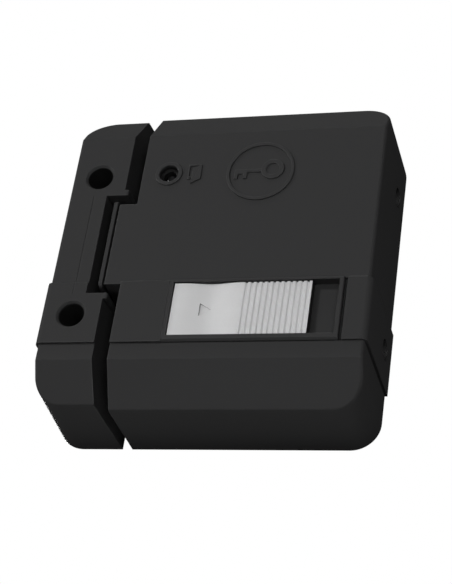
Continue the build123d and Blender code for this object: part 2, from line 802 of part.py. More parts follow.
# Bobbin and coil
bore_radius = plunger_radius + fit_gap
with BuildPart() as solenoid_bobbin:
    rod((bobbin_start, bobbin_end), solenoid_height, solenoid_z, bore_radius + bobbin_wall)
    rod((bobbin_start, bobbin_start + bobbin_flange), solenoid_height, solenoid_z, flange_radius)
    rod((bobbin_end - bobbin_flange, bobbin_end), solenoid_height, solenoid_z, flange_radius)
    rod((bobbin_start, bobbin_end), solenoid_height, solenoid_z, bore_radius, Mode.SUBTRACT)
finish(solenoid_bobbin.part, "solenoid_bobbin")

with BuildPart() as solenoid_coil:
    winding = (bobbin_start + bobbin_flange, bobbin_end - bobbin_flange)
    rod(winding, solenoid_height, solenoid_z, coil_radius)
    rod(winding, solenoid_height, solenoid_z, bore_radius + bobbin_wall, Mode.SUBTRACT)
finish(solenoid_coil.part, "solenoid_coil")

# Fixed pole piece at the closed end
pole_left = plunger_right + plunger_stroke + air_gap
with BuildPart() as pole_piece:
    rod((pole_left, bobbin_end), solenoid_height, solenoid_z, bore_radius)
    rod((bobbin_end, yoke_right), solenoid_height, solenoid_z, plunger_radius / 2)
finish(pole_piece.part, "pole_piece")

# Plunger with a fork round the lever, and its pin
fork_half = lever_thickness / 2 + fit_gap
with BuildPart() as plunger:
    rod((plunger_left, plunger_right), solenoid_height, solenoid_z, plunger_radius)
    fork_slot = (plunger_left - 1, plunger_pin_x + fork_slot_depth)
    fork_heights = around(solenoid_height, fork_half)
    block(fork_slot, around(solenoid_z, 2 * plunger_radius), *fork_heights, Mode.SUBTRACT)
    post(plunger_pin_x, solenoid_z, 0, case_depth, plunger_pin_radius, Mode.SUBTRACT)
finish(plunger.part, "plunger")

with BuildPart() as plunger_pin:
    pin_low = solenoid_height - plunger_radius
    post(plunger_pin_x, solenoid_z, pin_low, pin_low + 2 * plunger_radius, plunger_pin_radius)
finish(plunger_pin.part, "plunger_pin")

# Cylinder hub: boss in the base plate, slotted for the tail bar of a rim cylinder
flange_low = plate_thickness + slide_gap
with BuildPart() as cylinder_hub:
    post(key_x, key_z, slide_gap, flange_low, hub_boss_radius)
    post(key_x, key_z, flange_low, flange_low + hub_flange_thickness, hub_flange_radius)
    post(key_x, key_z, flange_low, crank_low, hub_neck_radius)
    block(around(key_x, hub_square / 2), around(key_z, hub_square / 2), crank_low, crank_high)
    bar_slot = around(key_z, tail_bar_width / 2)
    block(around(key_x, tail_bar_thickness / 2), bar_slot, 0, tail_bar_depth, Mode.SUBTRACT)
finish(cylinder_hub.part, "cylinder_hub")

# Crank on the hub's square, and its pin
crank_plane = Plane(
    origin=(key_x, -crank_low, key_z),
    x_dir=(cos(crank_angle), 0, -sin(crank_angle)),
    z_dir=(0, -1, 0),
)
with BuildPart() as hub_crank:
    with BuildSketch(crank_plane):
        Circle(crank_hub_radius)
        with Locations((0, -crank_length)):
            Circle(crank_tip_radius)
        make_hull()
        Rectangle(hub_square, hub_square, rotation=degrees(crank_angle), mode=Mode.SUBTRACT)
        with Locations((0, -crank_length)):
            Circle(crank_pin_radius, mode=Mode.SUBTRACT)
    extrude(amount=crank_thickness)
finish(hub_crank.part, "hub_crank")

with BuildPart() as crank_pin:
    post(crank_pin_x, crank_pin_z, crank_low, tail_high + layer_gap, crank_pin_radius)
finish(crank_pin.part, "crank_pin")

# Bridge over the hub's flange
with BuildPart() as hub_bridge:
    leg_outer = bridge_leg + bridge_thickness
    bridge_z = around(key_z, bridge_half)
    block(around(key_x, leg_outer), bridge_z, bridge_low, bridge_high)
    for side in (-1, 1):
        leg = sorted((key_x + side * bridge_leg, key_x + side * leg_outer))
        foot = sorted((key_x + side * bridge_leg, key_x + side * (leg_outer + bridge_foot)))
        block(leg, bridge_z, plate_thickness, bridge_high)
        block(foot, bridge_z, plate_thickness, plate_thickness + foot_thickness)
    post(key_x, key_z, bridge_low, bridge_high, hub_neck_radius + slide_gap, Mode.SUBTRACT)
    for x, z in foot_screws[2:4]:
        post(x, z, plate_thickness, plate_thickness + foot_thickness, screw_radius, Mode.SUBTRACT)
finish(hub_bridge.part, "hub_bridge")

# Hold-open button: domed head, flange behind its guide tube, tip that enters the tail
with BuildPart() as hold_open_button:
    post(button_x, button_z, button_flange_top, button_front, button_radius)
    fillet(hold_open_button.faces().sort_by(Axis.Y)[0].edges(), button_round)
    post(button_x, button_z, button_flange_low, button_flange_top, button_flange_radius)
    post(button_x, button_z, button_tip, button_flange_low, button_tip_radius)
finish(hold_open_button.part, "hold_open_button")

# Bracket that carries the button's spring and steers its tip
with BuildPart() as button_bracket:
    wall_top = bracket_height + bracket_thickness
    bracket_x = around(button_x, bracket_half)
    bracket_low_z = button_z - bracket_half
    block(bracket_x, (bracket_low_z, bracket_wall + bracket_thickness), bracket_height, wall_top)
    block(bracket_x, (bracket_wall, bracket_wall + bracket_thickness), plate_thickness, wall_top)
    foot_z = (bracket_wall, bracket_wall + bracket_thickness + bracket_foot)
    block(bracket_x, foot_z, plate_thickness, plate_thickness + foot_thickness)
    post(button_x, button_z, 0, case_depth, button_tip_radius + slide_gap, Mode.SUBTRACT)
    for x, z in foot_screws[6:]:
        post(x, z, plate_thickness, plate_thickness + foot_thickness, screw_radius, Mode.SUBTRACT)
finish(button_bracket.part, "button_bracket")

with BuildPart() as button_spring:
    coil_low = wall_top + fit_gap + button_spring_wire
    coil_rise = button_flange_low - fit_gap - button_spring_wire - coil_low
    with BuildLine() as button_coil_path:
        Polyline(
            *[
                (button_x + across, -coil_low - coil_rise * advance, button_z + up)
                for advance, across, up in coil_turns(button_spring_radius, button_spring_turns)
            ]
        )
    with BuildSketch(Plane(button_coil_path.line @ 0, z_dir=button_coil_path.line % 0)):
        RegularPolygon(button_spring_wire, 6)
    sweep(transition=Transition.RIGHT)
finish(button_spring.part, "button_spring")

# Screws of the bracket feet
with BuildPart() as mechanism_screws:
    for x, z in foot_screws:
        seat = plate_thickness + foot_thickness
        if (x, z) in foot_screws[4:6]:
            seat = yoke_inner
        post(x, z, slide_gap, seat, screw_radius)
        post(x, z, seat, seat + screw_head_height, screw_head_radius)
finish(mechanism_screws.part, "mechanism_screws")

# Terminal block with two clamp screws
terminal_places = [(x, terminal_z) for x in around(terminal_x, terminal_pitch / 2)]
terminal_top = plate_thickness + terminal_height
terminal_wire = plate_thickness + lead_height
with BuildPart() as terminal_block:
    terminal_box_x = around(terminal_x, terminal_length / 2)
    block(terminal_box_x, around(terminal_z, terminal_width / 2), plate_thickness, terminal_top)
    for x, z in terminal_places:
        post(x, z, terminal_top - terminal_well_depth, terminal_top, terminal_well_radius, Mode.SUBTRACT)
        with Locations((x, -terminal_wire, z - terminal_width / 2)):
            Cylinder(wire_hole_radius, terminal_width / 2, mode=Mode.SUBTRACT)
finish(terminal_block.part, "terminal_block")

with BuildPart() as terminal_screws:
    for x, z in terminal_places:
        low = terminal_top - terminal_well_depth
        post(x, z, low, low + terminal_screw_height, terminal_screw_radius)
        block(around(x, 0.8 * terminal_screw_radius), around(z, 0.3), low + 1, low + 2, Mode.SUBTRACT)
finish(terminal_screws.part, "terminal_screws")

# Two leads from the coil to the terminals
coil_top_z = solenoid_z + coil_radius
with BuildPart() as coil_leads:
    for number, (x, z) in enumerate(terminal_places):
        aside = lead_pitch * (1 - number)
        rise_x = lead_x - aside
        start_x = bobbin_end - lead_offset / 3 - aside
        level = solenoid_height
        terminal_side = terminal_z - terminal_width / 2
        turn_z = terminal_side - lead_turn
        heights = [coil_top_z + share * (turn_z - coil_top_z) for share in lead_shares]
        route = [
            (start_x, -level, coil_top_z + lead_radius),
            (start_x, -level, heights[0]),
            (rise_x, -level, heights[1]),
            (rise_x, -terminal_wire, heights[2]),
            (rise_x, -terminal_wire, turn_z - aside),
            (x, -terminal_wire, turn_z - aside),
            (x, -terminal_wire, terminal_side),
        ]
        with BuildLine() as lead_path:
            FilletPolyline(*route, radius=lead_bend)
        with BuildSketch(Plane(lead_path.line @ 0, z_dir=lead_path.line % 0)):
            RegularPolygon(lead_radius, 6)
        sweep()
finish(coil_leads.part, "coil_leads")

# Cable grommet in the base plate
with BuildPart() as cable_grommet:
    groove_radius = grommet_bore + grommet_wall
    post(grommet_x, grommet_z, 0, plate_thickness + grommet_lip, groove_radius)
    post(grommet_x, grommet_z, plate_thickness, plate_thickness + grommet_lip, groove_radius + grommet_wall)
    post(grommet_x, grommet_z, 0, plate_thickness + grommet_lip, grommet_bore, Mode.SUBTRACT)
finish(cable_grommet.part, "cable_grommet")

# Strike cover: shell with the pocket for the lock's nose, two ribs and two screw wells
strike_form = (0, strike_corners, strike_draft)
strike_outer = facet_block(strike_left, strike_right, 0, *strike_form)
strike_inner = facet_block(strike_left + cover_wall, strike_right - cover_wall, cover_wall, *strike_form)
web_left = pocket_face - cover_wall
rib_outer = pocket_half + rib_thickness
strike_holes = [(strike_hole_x, -strike_hole_spacing / 2), (strike_hole_x, strike_hole_spacing / 2)]
with BuildPart() as strike_pocket:
    block((web_left, strike_right + rib_proud), around(0, rib_outer), -cover_wall, 2 * case_depth)
with BuildPart() as strike_cover:
    add(strike_outer)
    fillet(front_rim(strike_cover.part, strike_right), soft_edge)
    band_spread = band_front * strike_slant
    with BuildSketch(Plane.XY.offset(band_bottom)) as strike_band_plan:
        with BuildLine():
            Polyline(
                (strike_left - band_raise, -band_front),
                (strike_left - band_raise - band_spread, 0),
                (strike_right + strike_spread, 0),
                (strike_right, -case_depth),
                (strike_right, -band_front),
                close=True,
            )
        make_face()
        band_corner = strike_band_plan.vertices().sort_by(Axis.Y)[:2].sort_by(Axis.X)[0]
        fillet(band_corner, soft_edge + band_raise)
    extrude(amount=band_height)
    # Hollow, except the web and ribs of the pocket
    add(strike_inner - strike_pocket.part, mode=Mode.SUBTRACT)
    for x, z in strike_holes:
        post(x, z, keeper_thickness + fit_gap, case_depth, well_radius + well_wall)
    pocket = (pocket_face, strike_right + 2 * strike_spread)
    block(pocket, around(0, pocket_half), -1, 2 * case_depth, Mode.SUBTRACT)
    for side in (-1, 1):
        rib_z = sorted((side * pocket_half, side * rib_outer))
        rib_front = band_front if side < 0 else case_depth
        with BuildSketch(Plane.XY.offset(rib_z[0])) as rib_plan:
            with Locations((strike_right + rib_proud / 2 - cover_wall / 2, -rib_front / 2)):
                Rectangle(rib_proud + cover_wall, rib_front)
            fillet(rib_plan.vertices().sort_by(Axis.Y)[:2].sort_by(Axis.X)[-1], rib_round)
        extrude(amount=rib_thickness)
    bolt_hole = (latch_low - bolt_window_gap, latch_high + bolt_window_gap)
    bolt_hole_half = latch_half + bolt_window_gap
    block((web_left, pocket_face), around(0, bolt_hole_half), *bolt_hole, Mode.SUBTRACT)
    for x, z in strike_holes:
        front = band_front if z < 0 else case_depth
        post(x, z, keeper_thickness + fit_gap + well_floor, front, well_radius, Mode.SUBTRACT)
        post(x, z, 0, front, fixing_hole_radius, Mode.SUBTRACT)
        circles = strike_cover.edges().filter_by(GeomType.CIRCLE)
        rims = circles.filter_by(lambda edge: (edge.arc_center - Vector(x, -front, z)).length < 0.01)
        chamfer(rims, well_mouth)
    # Fine moulding line beside the pocket
    crease_x = around(pocket_face - crease_edge, crease_width / 2)
    block(crease_x, (band_top, pocket_half), case_depth - crease_depth, band_front, Mode.SUBTRACT)
    block(crease_x, (-pocket_half, band_top), band_front - crease_depth, band_front, Mode.SUBTRACT)
finish(strike_cover.part, "strike_cover")

# Strike keeper: folded steel angle behind the pocket's web, with the screw holes
keeper_inset = cover_wall + fit_gap
keeper_edge = web_left - fit_gap
with BuildPart() as strike_keeper:
    with BuildSketch(at_height(0)) as keeper_outline:
        keeper_left = strike_left - strike_spread + keeper_inset
        keeper_right = strike_right + strike_spread - keeper_inset
        panel((keeper_left, keeper_right), around(0, half_height - keeper_inset))
        round_corners(keeper_outline, 0, [radius - keeper_inset for radius in strike_corners])
        pocket_relief = (keeper_edge, strike_right + strike_spread)
        panel(pocket_relief, around(0, rib_outer + fit_gap), Mode.SUBTRACT)
        with Locations(strike_holes):
            Circle(fixing_hole_radius, mode=Mode.SUBTRACT)
    extrude(amount=keeper_thickness)
    wall_x = (keeper_edge - keeper_thickness, keeper_edge)
    wall_high = case_depth - cover_wall - fit_gap
    block(wall_x, around(0, keeper_half), 0, wall_high)
    block(wall_x, around(0, bolt_hole_half), *bolt_hole, Mode.SUBTRACT)
finish(strike_keeper.part, "strike_keeper")
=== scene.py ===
# %% [markdown]
# # An electric rim lock and its strike
# The lock is screwed to the inside of a door and the strike to the frame beside it. Both are black
# moulded housings over folded steel. The shapes come from the model as fixed pieces, in metres.
# This lesson gives them their surfaces, adds the raised signs on the front and coil springs, and
# sets up the view.

# %% Load the lock
import math

import bpy
import numpy as np
from mathutils import Matrix, Vector


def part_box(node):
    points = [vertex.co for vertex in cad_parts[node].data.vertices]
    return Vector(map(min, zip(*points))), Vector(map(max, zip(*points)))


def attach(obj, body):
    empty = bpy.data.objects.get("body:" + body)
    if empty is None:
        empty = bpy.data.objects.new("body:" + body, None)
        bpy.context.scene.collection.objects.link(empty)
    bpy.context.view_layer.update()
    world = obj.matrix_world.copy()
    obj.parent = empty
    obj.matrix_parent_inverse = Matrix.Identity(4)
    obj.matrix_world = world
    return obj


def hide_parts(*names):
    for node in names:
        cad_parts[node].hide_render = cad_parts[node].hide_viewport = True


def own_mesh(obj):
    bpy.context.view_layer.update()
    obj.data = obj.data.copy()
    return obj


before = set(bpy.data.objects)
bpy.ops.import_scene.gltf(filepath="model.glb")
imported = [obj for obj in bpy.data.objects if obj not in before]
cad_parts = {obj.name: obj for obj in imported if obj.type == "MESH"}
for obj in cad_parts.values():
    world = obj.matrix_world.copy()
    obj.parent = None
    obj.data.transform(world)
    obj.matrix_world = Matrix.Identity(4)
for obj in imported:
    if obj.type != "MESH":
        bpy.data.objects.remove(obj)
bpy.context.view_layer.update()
print("pieces in the model:", len(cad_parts))

# %% [markdown]
# ## A small kit for finishes
# A finish is a tree of shader nodes. Written out one by one such trees are hard to read, so two
# small classes let us write them as sums: `Value` wraps the output of a node and adds a Math
# node for each operator, and `Finish` holds the material and adds every other node with one
# method.

# %% Values that can be added and multiplied


class Value:
    """One output of a node; arithmetic on it adds Math nodes to the same tree."""

    def __init__(self, finish, socket):
        self.finish = finish
        self.socket = socket

    def math(self, operation, first, second):
        return self.finish.node("ShaderNodeMath", {"operation": operation}, {0: first, 1: second})

    def __add__(self, other):
        return self.math("ADD", self, other)

    def __sub__(self, other):
        return self.math("SUBTRACT", self, other)

    def __rsub__(self, other):
        return self.math("SUBTRACT", other, self)

    def __mul__(self, other):
        return self.math("MULTIPLY", self, other)

    def __gt__(self, other):
        return self.math("GREATER_THAN", self, other)


# %% Finishes


class Finish:
    """A procedural material: a Principled surface and one method that adds any node."""

    def __init__(self, name, **sockets):
        self.material = bpy.data.materials.new(name)
        self.material.use_nodes = True
        self.tree = self.material.node_tree
        self.surface = self.tree.nodes["Principled BSDF"]
        self.feed(**sockets)
        self.place = self.node("ShaderNodeTexCoord", {}, {}, "Object")

    def node(self, kind, settings, inputs, output=0):
        """Add a node: its settings first, then the values or links of its sockets."""
        made = self.tree.nodes.new(kind)
        for key, value in settings.items():
            if key == "stops":
                ramp = made.color_ramp
                while len(ramp.elements) < len(value):
                    ramp.elements.new(1.0)
                for element, (position, color) in zip(ramp.elements, value):
                    element.position = position
                    element.color = (*color, 1.0)
            else:
                setattr(made, key, value)
        for key, value in inputs.items():
            self.set_socket(made.inputs[key], value)
        return Value(self, made.outputs[output])

    def set_socket(self, socket, value):
        """Link a Value, or write a number or a colour."""
        if isinstance(value, Value):
            self.tree.links.new(value.socket, socket)
        else:
            socket.default_value = value

    def feed(self, **sockets):
        """Set or link sockets of the surface, named with _ for a space."""
        for key, value in sockets.items():
            self.set_socket(self.surface.inputs[key.replace("_", " ")], value)

    def noise(self, scale, detail=2.0, roughness=0.5):
        """Noise of that many waves per metre, from 0 to 1."""
        return self.node(
            "ShaderNodeTexNoise",
            {},
            {"Vector": self.place, "Scale": scale, "Detail": detail, "Roughness": roughness},
        )

    def ramp(self, value, *stops):
        """Colour that follows a value through the given stops."""
        return self.node("ShaderNodeValToRGB", {"stops": stops}, {"Fac": value})

    def blend(self, factor, first, second):
        """Mix of two colours by a factor; a Mix node's inputs 6 and 7 are its two colours."""
        return self.node(
            "ShaderNodeMix", {"data_type": "RGBA"}, {"Factor": factor, 6: first, 7: second}, 2
        )

    def relief(self, height, depth, strength, **normal):
        """Normal bent by a height map whose full range is depth metres."""
        inputs = {"Height": height, "Distance": depth, "Strength": strength, **normal}
        return self.node("ShaderNodeBump", {}, inputs)

    def soft_corners(self, radius):
        """Normal of the surface with its edges rounded to a radius, in the shading alone."""
        return self.node("ShaderNodeBevel", {"samples": 6}, {"Radius": radius})


# %% [markdown]
# A piece of the model arrives with material slots of its own. To dress it is to put a finish into
# each of them, so the piece itself stays as it is.

# %% Colours and dressing


def tone(color, share=1.0):
    """A colour made darker or lighter by a share, with full opacity."""
    return (*(share * channel for channel in color), 1.0)


def dress(finish, *nodes):
    """Give a finish to pieces of the model through their material slots."""
    for name in nodes:
        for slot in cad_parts[name].material_slots:
            slot.material = finish.material
    print(finish.material.name, "on", ", ".join(nodes))


# %% [markdown]
# ## Black moulded housing
# The housings are black ABS with the fine grain that a spark-eroded mould leaves. Grain is a
# height far below a tenth of a millimetre, so a Bump node gives it, and a slow noise keeps the
# gloss from being even. Real moulded plastic has no true edge, so a Bevel node rounds the
# shading there. Hands and sleeves rub the outer edges smoother than the rest: an Ambient
# Occlusion node turned inwards finds them, and they get a lower roughness.

# %% Rubbed edges


def rubbed_edges(finish, reach):
    """1 on outer edges and 0 a reach away from them.

    Rays that start inwards from a flat face meet nothing within the reach, while beside an outer
    edge up to half of them meet the next face, so twice the share that is met is the mask.
    """
    open_share = finish.node(
        "ShaderNodeAmbientOcclusion",
        {"samples": 8, "inside": True, "only_local": True},
        {"Distance": reach},
        "AO",
    )
    met = (1.0 - open_share) * 2.0
    return finish.node("ShaderNodeMath", {"operation": "MINIMUM"}, {0: met, 1: 1.0})


# %% [markdown]
# A deep well looks black from outside, because little light finds its way out of it again. The
# screw wells and the button's well therefore get painted shade, a darker black in their colour from
# just below their mouths.

# %% Painted shade in the wells


def inside_wells(finish, wells, mouth):
    """1 inside round wells sunk along Y, behind a depth in Y, else 0.

    Wells are (x, z, radius) in metres, and a point is in one when
    (x - well_x)^2 + (z - well_z)^2 < radius^2.
    """
    x, y, z = (
        finish.node("ShaderNodeSeparateXYZ", {}, {0: finish.place}, axis) for axis in range(3)
    )
    inside = 0.0
    for well_x, well_z, radius in wells:
        across = x - well_x
        along = z - well_z
        inside = (radius**2 - (across * across + along * along) > 0.0) + inside
    return (y - mouth > 0.0) * inside


button_well = (-0.0367, 0.0319, 0.00385)
upper_screw_well = (-0.065, 0.0316, 0.0051)
lower_screw_well = (-0.065, -0.0316, 0.0051)
well_mouth = -0.0402
# Colour of the painted shade inside the wells.
well_shade_color = (0.003, 0.003, 0.003)
deep_wells = [button_well, upper_screw_well, lower_screw_well]
print("darkened wells:", len(deep_wells))

# %% [markdown]
# One function makes the plastic of the housings, of the slide handle's frame and of the button. The
# housings have the coarsest grain, the frame is a little smoother, and the button, which fingers
# polish, is glossy. The button's black is also darker than the housing's, partly its own colour and
# partly painted shade, for it sits deep in its well.

# %% Housing finish
grain_waves = 2600.0
cloud_waves = 45.0
rub_reach = 0.0005
rub_polish = 0.4


def grained_plastic(name, color, roughness, grain, corner, wells=()):
    """Moulded plastic: clouds and grain in its colour, grain in its height, smoother edges."""
    finish = Finish(name, IOR=1.47, Specular_IOR_Level=0.5)
    fine = finish.noise(grain_waves, 3.0, 0.6)
    slow = finish.noise(cloud_waves)
    shade = finish.blend(slow * 0.6 + fine * 0.4, tone(color, 0.9), tone(color, 1.1))
    # Inside the wells the colour turns to painted shade.
    if wells:
        shade = finish.blend(inside_wells(finish, wells, well_mouth), shade, tone(well_shade_color))
    finish.feed(Base_Color=shade)
    rubbed = rubbed_edges(finish, rub_reach)
    finish.feed(Roughness=slow * 0.06 + (roughness - 0.03) - rubbed * rub_polish)
    finish.feed(Normal=finish.relief(fine, grain, 0.5, Normal=finish.soft_corners(corner)))
    return finish


housing = grained_plastic(
    "black_housing", (0.022, 0.022, 0.0225), 0.68, 0.00003, 0.0004, deep_wells
)
smooth_black = grained_plastic("black_smooth", (0.0215, 0.0215, 0.022), 0.62, 0.00001, 0.0002)
# The button's darker black is partly painted shade of its deep well.
button_black_and_shade = grained_plastic("black_button", (0.005, 0.005, 0.0055), 0.22, 0.000005, 0.0003)
dress(housing, "case_cover", "strike_cover")
dress(smooth_black, "slider_bezel")
dress(button_black_and_shade, "hold_open_button")

# %% [markdown]
# ## Silver slide handle
# The handle is plastic with a silver paint: flakes of aluminium in a clear binder. Seen from
# further away it is a pale grey with a soft gloss, hardly metallic, and tiny cells of slightly
# different grey stand for the flakes. Only what faces the viewer is silver. The sides and the end
# get a near-black colour, painted shade, chosen by the way the surface faces in the model.

# %% Silver paint
flake_waves = 6000.0
painted_facing = 0.2
# Near-black colour of painted shade on the handle's sides and end.
handle_side_shade = (0.015, 0.015, 0.015)


def silver_paint(name, color):
    """Silver paint on faces towards -Y; the other faces get a near-black colour that is painted
    shade.
    """
    finish = Finish(name, IOR=1.5)
    flakes = finish.node(
        "ShaderNodeTexVoronoi",
        {"feature": "F1"},
        {"Vector": finish.place, "Scale": flake_waves},
        "Color",
    )
    grey = finish.node("ShaderNodeRGBToBW", {}, {"Color": flakes})
    cloud = finish.noise(120.0)
    facing = finish.node("ShaderNodeTexCoord", {}, {}, "Normal")
    facing_y = finish.node("ShaderNodeSeparateXYZ", {}, {0: facing}, "Y")
    painted = 0.0 - facing_y > painted_facing
    paint = finish.blend(grey * 0.5 + cloud * 0.5, tone(color, 0.93), tone(color, 1.06))
    # Faces that don't face the viewer take the colour of the painted shade.
    finish.feed(Base_Color=finish.blend(painted, tone(handle_side_shade), paint), Metallic=0.1)
    finish.feed(Roughness=grey * 0.1 + 0.46)
    finish.feed(Normal=finish.relief(grey, 0.000004, 0.4, Normal=finish.soft_corners(0.00015)))
    return finish


dress(silver_paint("silver_paint", (0.78, 0.78, 0.785)), "slider")

# %% [markdown]
# ## Powder-coated steel
# The base plate, the keeper and the screws of the case are powder coated. The powder melts into a
# skin with a fine orange peel, which is one noise here, both in the height and in the roughness.

# %% Powder coat


def powder_coat(name, color, corner, roughness):
    finish = Finish(name)
    peel = finish.noise(900.0, 2.0, 0.4)
    finish.feed(Base_Color=tone(color), Roughness=peel * 0.1 + roughness)
    finish.feed(Normal=finish.relief(peel, 0.00004, 0.5, Normal=finish.soft_corners(corner)))
    return finish


dress(
    powder_coat("black_steel", (0.019, 0.019, 0.0195), 0.0004, 0.6), "base_plate", "strike_keeper"
)
dress(powder_coat("black_screw", (0.02, 0.02, 0.021), 0.0001, 0.4), "cover_screws")

# %% [markdown]
# ## Zinc-plated steel
# The brackets, the lever and the tail are zinc plated. Zinc shows as soft clouds of blue and
# straw, so one slow noise picks the colour, and a finer one makes the surface uneven.

# %% Zinc plate
zinc_blue = (0.50, 0.53, 0.58)
zinc_grey = (0.60, 0.60, 0.60)
zinc_straw = (0.62, 0.58, 0.46)


def zinc_plate(name):
    finish = Finish(name, Metallic=1.0)
    cloud = finish.noise(90.0, 3.0)
    spangle = finish.noise(700.0)
    tint = finish.ramp(cloud, (0.35, zinc_blue), (0.5, zinc_grey), (0.68, zinc_straw))
    finish.feed(Base_Color=tint, Roughness=spangle * 0.18 + 0.26)
    finish.feed(Normal=finish.relief(spangle, 0.00001, 0.3))
    return finish


dress(
    zinc_plate("zinc_steel"), "slider_retainer", "latch_tail", "latch_rivets", "latch_guide",
    "spring_post", "release_lever", "solenoid_frame", "hub_crank", "hub_bridge",
    "button_bracket", "terminal_screws", "mechanism_screws",
)

# %% [markdown]
# ## Ground, drawn and turned metal
# The bolt and the pins are nickel plated over ground steel, the springs are drawn wire, and the
# hub is brass. Grinding and turning leave fine lines. They come from a noise that a Mapping node
# squeezes along two axes; on the thin spring wire it is the same every way.

# %% Ground and drawn metals


def ground_steel(name, color, stretch):
    """Metal with grinding lines: noise squeezed along two axes and long along the third."""
    finish = Finish(name, Metallic=1.0)
    drawn = finish.node(
        "ShaderNodeMapping", {"vector_type": "POINT"}, {"Vector": finish.place, "Scale": stretch}
    )
    lines = finish.node("ShaderNodeTexNoise", {}, {"Vector": drawn, "Scale": 1.0, "Detail": 3.0})
    finish.feed(Base_Color=finish.blend(lines, tone(color, 0.85), tone(color)))
    finish.feed(Roughness=lines * 0.2 + 0.18)
    finish.feed(Normal=finish.relief(lines, 0.000006, 0.4))
    return finish


along_x = (60.0, 6000.0, 6000.0)
along_y = (5000.0, 60.0, 5000.0)
every_way = (3000.0, 3000.0, 3000.0)
nickel = ground_steel("nickel_steel", (0.66, 0.64, 0.60), along_x)
spring_wire = ground_steel("spring_wire", (0.45, 0.45, 0.46), every_way)
brass = ground_steel("turned_brass", (0.72, 0.52, 0.22), along_y)
dress(
    nickel, "latch_bolt", "lever_pin", "lever_pivot", "pole_piece", "plunger", "plunger_pin",
    "crank_pin",
)
dress(spring_wire, "latch_spring", "lever_clip", "button_spring")
dress(brass, "cylinder_hub")

# %% [markdown]
# ## Winding of the coil
# The winding is enamelled copper wire, laid in even turns across the bobbin. Modelled wire would
# cost many faces that nobody sees, so a wave along X gives the turns in height, and in colour as
# painted shade: the copper darkens in the grooves between the turns.

# %% Wound copper


def wound_copper(name):
    finish = Finish(name, Metallic=0.7, Coat_Roughness=0.15)
    turns = finish.node(
        "ShaderNodeTexWave",
        {"wave_type": "BANDS", "bands_direction": "X", "wave_profile": "SIN"},
        {"Vector": finish.place, "Scale": 400.0, "Distortion": 0.3, "Detail": 1.0},
        "Fac",
    )
    # Dark in the grooves between the turns: painted shade.
    copper = finish.ramp(turns, (0.1, (0.12, 0.03, 0.01)), (0.7, (0.62, 0.24, 0.10)))
    finish.feed(Base_Color=copper, Roughness=turns * 0.1 + 0.25, Coat_Weight=turns * 0.2 + 0.4)
    finish.feed(Normal=finish.relief(turns, 0.00008, 0.8))
    return finish


dress(wound_copper("wound_copper"), "solenoid_coil")

# %% [markdown]
# ## Plastics and rubber inside
# The bobbin is natural nylon, the terminal block light grey, the leads are red and the grommet is
# rubber. They differ in colour and gloss alone, so one function makes all four.

# %% Moulded plastics and rubber


def moulded(name, color, roughness):
    finish = Finish(name)
    cloud = finish.noise(300.0)
    finish.feed(Base_Color=finish.blend(cloud, tone(color, 0.9), tone(color)))
    finish.feed(Roughness=cloud * 0.1 + roughness)
    finish.feed(Normal=finish.relief(cloud, 0.00002, 0.3))
    return finish


dress(moulded("natural_nylon", (0.70, 0.67, 0.58), 0.35), "solenoid_bobbin")
dress(moulded("grey_block", (0.50, 0.51, 0.50), 0.4), "terminal_block")
dress(moulded("red_insulation", (0.45, 0.02, 0.015), 0.3), "coil_leads")
dress(moulded("black_rubber", (0.012, 0.012, 0.012), 0.6), "cable_grommet")

# %% [markdown]
# ## Raised signs on the front
# A key stands in the ring where the cylinder works, and a half-open door beside the hold-open
# button. Both are moulded a little less than half a millimetre high. They could be a bump in the
# shading, but in this low view their sides show, so they are real forms. Each starts as a closed
# outline whose corners are rounded. From here to the springs all lengths are in millimetres.

# %% Outlines with rounded corners
longest_cut = 0.45


def rounded_outline(corners, radius, steps=5):
    """Closed outline whose corners are replaced by arcs.

    Each corner C is cut at A and B, a radius before and after it but at most 0.45 of its shorter
    side, so that two cuts never meet. The points between are (1-t)^2 A + 2t(1-t) C + t^2 B, for
    all corners and all t at once.
    """
    corner = np.array(corners, float)
    back = np.roll(corner, 1, axis=0) - corner
    ahead = np.roll(corner, -1, axis=0) - corner
    back_length = np.linalg.norm(back, axis=1, keepdims=True)
    ahead_length = np.linalg.norm(ahead, axis=1, keepdims=True)
    reach = np.minimum(radius, longest_cut * np.minimum(back_length, ahead_length))
    start = corner + back / back_length * reach
    end = corner + ahead / ahead_length * reach
    t = np.linspace(0.0, 1.0, steps)[None, :, None]
    points = (1 - t) ** 2 * start[:, None] + 2 * t * (1 - t) * corner[:, None]
    return (points + t**2 * end[:, None]).reshape(-1, 2)


def inward(outline):
    """Unit normals of a closed outline that runs anticlockwise, pointing inwards.

    The tangent at a point is the line from its neighbour before to its neighbour after, and the
    normal is that line turned a quarter turn to the left.
    """
    tangent = np.roll(outline, -1, axis=0) - np.roll(outline, 1, axis=0)
    tangent /= np.maximum(np.linalg.norm(tangent, axis=1, keepdims=True), 1e-9)
    return np.stack([-tangent[:, 1], tangent[:, 0]], axis=1)


# %% [markdown]
# Each form that is added is an object of its own. It rides on a body of the lock, so it moves
# with it, and its surface has a slot name like the pieces of the model.

# %% New pieces
metre = 1000.0
millimetre = 0.001


def new_piece(name, points, faces, finish, body):
    """Mesh object from arrays of points in millimetres, riding on a body."""
    mesh = bpy.data.meshes.new(name)
    mesh.from_pydata((points * millimetre).tolist(), [], faces)
    mesh.validate()
    mesh.update()
    piece = bpy.data.objects.new(name, mesh)
    bpy.context.scene.collection.objects.link(piece)
    piece.data.materials.append(finish.material)
    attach(piece, body)
    print(name, "has", len(mesh.polygons), "faces")
    return piece


# %% [markdown]
# The outline is carried up and inwards along a quarter round, and one face closes the top. That
# makes a plateau with soft shoulders, which catch a thin light as moulded signs do.

# %% Plateaus
front = 41.0
shoulder_steps = 4


def quarter_round(rise, shoulder):
    """Inset and height along a shoulder, at equal steps of an angle a up to a quarter turn.

    The inset is shoulder * (1 - cos a) and the height rise * sin a, a quarter of an ellipse.
    """
    a = np.linspace(0.0, math.pi / 2, shoulder_steps)
    return shoulder * (1 - np.cos(a)), rise * np.sin(a)


